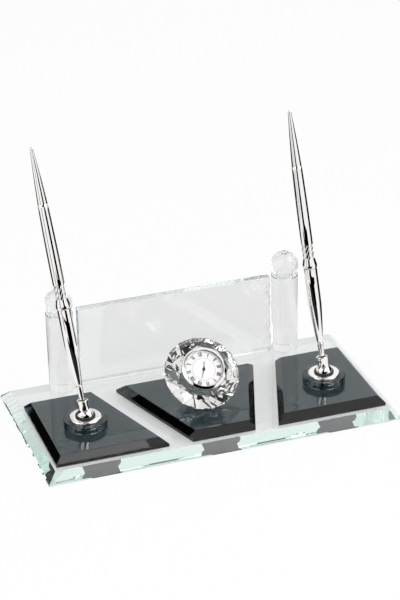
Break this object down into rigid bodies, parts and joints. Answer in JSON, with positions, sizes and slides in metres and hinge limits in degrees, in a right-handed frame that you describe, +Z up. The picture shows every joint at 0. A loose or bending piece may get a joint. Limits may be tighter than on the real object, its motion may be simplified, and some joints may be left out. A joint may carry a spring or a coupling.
{
  "type": "desk pen set with clock",
  "caption": "Glass desk set: bevelled base, smoked plates, rear panel between pillars with faceted balls, swivel pen holders with pens, and a brilliant-cut crystal clock.",
  "frame": {"origin": "centre of the base plate's underside", "axes": "+X along the base to the right, +Y towards the rear panel, +Z up"},
  "size_m": [0.225, 0.115, 0.1832],
  "materials": {
    "float_glass": "polished clear float glass with green edges",
    "smoked_glass": "polished smoked glass",
    "panel_glass": "polished pale clear glass with green edges",
    "pillar_glass": "polished pale crystal glass",
    "finial_crystal": "faceted and polished",
    "black_glass": "polished black glass",
    "clock_crystal": "clear lead crystal, facets polished",
    "chrome": "polished plate",
    "seat_nylon": "moulded natural nylon",
    "core_plastic": "moulded black plastic",
    "refill_plastic": "extruded translucent tube",
    "clock_metal": "polished plate",
    "lens_glass": "polished mineral glass",
    "dial_white": "white lacquer with printed numerals",
    "hand_black": "satin black",
    "case_steel": "spun",
    "movement_plastic": "moulded",
    "cell_steel": "plated can",
    "grip_rubber": "moulded black rubber"
  },
  "bodies": {
    "stand": {"base_plate": "float_glass", "left_plate": "smoked_glass", "centre_plate": "smoked_glass", "right_plate": "smoked_glass", "rear_panel": "panel_glass", "left_pillar": "pillar_glass", "right_pillar": "pillar_glass", "left_finial": "finial_crystal", "right_finial": "finial_crystal", "left_pen_disc": "black_glass", "right_pen_disc": "black_glass", "left_socket_flange": "chrome", "right_socket_flange": "chrome", "clock_crystal": "clock_crystal"},
    "clock": {"clock_bezel": "clock_metal", "clock_lens": "lens_glass", "clock_spacer": "clock_metal", "clock_dial": "dial_white", "clock_case": "case_steel", "clock_grip_ring": "grip_rubber", "clock_movement": "movement_plastic", "clock_battery": "cell_steel", "clock_back": "case_steel"},
    "hour": {"hour_hand": "hand_black"},
    "minute": {"minute_hand": "hand_black"},
    "knob": {"setting_knob": "movement_plastic"},
    "left_swivel": {"left_seat_pad": "seat_nylon"},
    "left_cup": {"left_pen_cup": "chrome"},
    "left_pen": {"left_pen_nose": "chrome", "left_lower_barrel": "chrome", "left_twist_core": "core_plastic"},
    "left_pen_top": {"left_upper_barrel": "chrome", "left_end_cap": "chrome"},
    "left_ink": {"left_refill": "refill_plastic"},
    "right_swivel": {"right_seat_pad": "seat_nylon"},
    "right_cup": {"right_pen_cup": "chrome"},
    "right_pen": {"right_pen_nose": "chrome", "right_lower_barrel": "chrome", "right_twist_core": "core_plastic"},
    "right_pen_top": {"right_upper_barrel": "chrome", "right_end_cap": "chrome"},
    "right_ink": {"right_refill": "refill_plastic"}
  },
  "joints": [
    {"name": "clock_pull_out", "type": "slide", "parent": "stand", "child": "clock", "axis": [0, -0.6561, 0.7547], "range_m": [0, 0.012]},
    {"name": "knob_turn", "type": "hinge", "parent": "clock", "child": "knob", "pos_m": [0.0055, -0.01106, 0.03281], "axis": [0, 0.6561, -0.7547], "continuous": true},
    {"name": "minute_turn", "type": "hinge", "parent": "clock", "child": "minute", "pos_m": [0, -0.01106, 0.03281], "axis": [0, 0.6561, -0.7547], "continuous": true},
    {"name": "hour_turn", "type": "hinge", "parent": "clock", "child": "hour", "pos_m": [0, -0.01106, 0.03281], "axis": [0, 0.6561, -0.7547], "continuous": true},
    {"name": "left_swivel_turn", "type": "hinge", "parent": "stand", "child": "left_swivel", "pos_m": [-0.0773, -0.0155, 0.0186], "axis": [0, 0, 1], "continuous": true},
    {"name": "left_tilt", "type": "hinge", "parent": "left_swivel", "child": "left_cup", "pos_m": [-0.0773, -0.0155, 0.0186], "axis": [-0.9397, -0.342, 0], "range_deg": [-49.4, 20.6]},
    {"name": "left_pen_lift", "type": "slide", "parent": "left_cup", "child": "left_pen", "axis": [-0.0851, 0.2337, 0.9686], "range_m": [0, 0.012]},
    {"name": "left_twist", "type": "hinge", "parent": "left_pen", "child": "left_pen_top", "pos_m": [-0.0773, -0.0155, 0.0186], "axis": [-0.0851, 0.2337, 0.9686], "range_deg": [0, 150]},
    {"name": "left_ink_feed", "type": "slide", "parent": "left_pen", "child": "left_ink", "axis": [0.0851, -0.2337, -0.9686], "range_m": [0, 0.0025]},
    {"name": "right_swivel_turn", "type": "hinge", "parent": "stand", "child": "right_swivel", "pos_m": [0.0773, -0.0155, 0.0186], "axis": [0, 0, 1], "continuous": true},
    {"name": "right_tilt", "type": "hinge", "parent": "right_swivel", "child": "right_cup", "pos_m": [0.0773, -0.0155, 0.0186], "axis": [-0.9505, -0.3107, 0], "range_deg": [-46.5, 23.5]},
    {"name": "right_pen_lift", "type": "slide", "parent": "right_cup", "child": "right_pen", "axis": [-0.0619, 0.1895, 0.9799], "range_m": [0, 0.012]},
    {"name": "right_twist", "type": "hinge", "parent": "right_pen", "child": "right_pen_top", "pos_m": [0.0773, -0.0155, 0.0186], "axis": [-0.0619, 0.1895, 0.9799], "range_deg": [0, 150]},
    {"name": "right_ink_feed", "type": "slide", "parent": "right_pen", "child": "right_ink", "axis": [0.0619, -0.1895, -0.9799], "range_m": [0, 0.0025]}
  ],
  "couplings": [
    {"joint": "minute_turn", "follows": "knob_turn", "ratio": -1},
    {"joint": "hour_turn", "follows": "knob_turn", "ratio": -0.083333},
    {"joint": "left_ink_feed", "follows": "left_twist", "m_per_rad": 0.00095483},
    {"joint": "right_ink_feed", "follows": "right_twist", "m_per_rad": 0.00095483}
  ]
}
